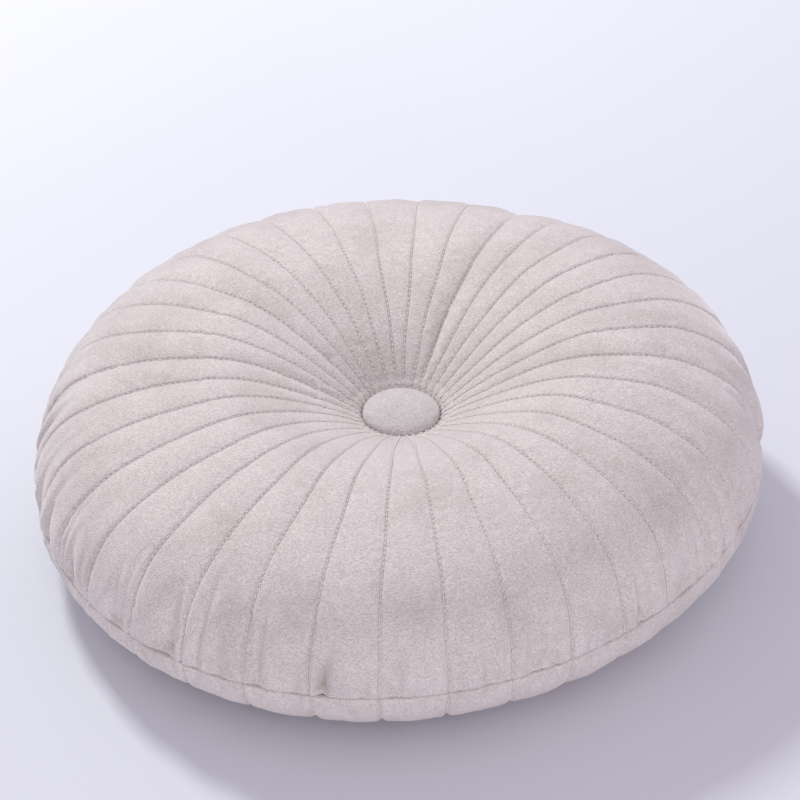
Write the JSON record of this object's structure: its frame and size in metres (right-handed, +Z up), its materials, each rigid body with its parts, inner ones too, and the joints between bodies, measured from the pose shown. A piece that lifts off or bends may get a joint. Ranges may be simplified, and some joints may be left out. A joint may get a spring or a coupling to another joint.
{
  "type": "round floor cushion",
  "caption": "Round pleated velvet floor cushion, radially quilted and drawn in at the middle by a covered button on each face; it gives when sat on.",
  "frame": {"origin": "centre of the bounding box's base, on the floor under the cushion's axis", "axes": "+Z up along the cushion's own axis; -Y towards the viewer of the picture, with the closed filling opening at +Y"},
  "size_m": [0.4002, 0.4002, 0.1065],
  "materials": {
    "velvet": "short pile velvet, warm off-white",
    "button_velvet": "short pile velvet, warm off-white",
    "wadding": "white needled polyester wadding",
    "lining": "white non-woven lining",
    "filling": "white loose polyester fibre",
    "thread": "spun polyester sewing thread, warm off-white",
    "twine": "waxed polyester tufting twine",
    "button_metal": "pressed, mill finish",
    "shank_wire": "plated drawn wire"
  },
  "bodies": {
    "base": {"bottom_cover": "velvet", "bottom_wadding": "wadding", "bottom_lining": "lining", "fibre_filling": "filling", "perimeter_seam_thread": "thread", "closing_stitches": "thread", "bottom_quilting_thread": "thread", "tufting_twine": "twine", "tufting_knot": "twine"},
    "seat_top": {"top_cover": "velvet", "top_wadding": "wadding", "top_lining": "lining", "top_quilting_thread": "thread"},
    "top_button": {"top_button_fabric": "button_velvet", "top_button_shell": "button_metal", "top_button_back": "button_metal", "top_button_shank": "shank_wire"},
    "bottom_button": {"bottom_button_fabric": "button_velvet", "bottom_button_shell": "button_metal", "bottom_button_back": "button_metal", "bottom_button_shank": "shank_wire"}
  },
  "joints": [
    {"name": "seat_compression", "type": "slide", "parent": "base", "child": "seat_top", "axis": [0, 0, 1], "range_m": [-0.04, 0], "stiffness_N_per_m": 10000, "deforming": ["bottom_cover", "bottom_wadding", "bottom_lining", "fibre_filling", "perimeter_seam_thread", "closing_stitches", "bottom_quilting_thread", "tufting_twine", "tufting_knot", "top_cover", "top_wadding", "top_lining", "top_quilting_thread"]},
    {"name": "top_button_follow", "type": "slide", "parent": "seat_top", "child": "top_button", "axis": [0, 0, 1], "range_m": [0, 0.016]},
    {"name": "bottom_button_follow", "type": "slide", "parent": "base", "child": "bottom_button", "axis": [0, 0, 1], "range_m": [-0.0088, 0]}
  ],
  "couplings": [
    {"joint": "top_button_follow", "follows": "seat_compression", "ratio": -0.398},
    {"joint": "bottom_button_follow", "follows": "seat_compression", "ratio": 0.2189}
  ]
}
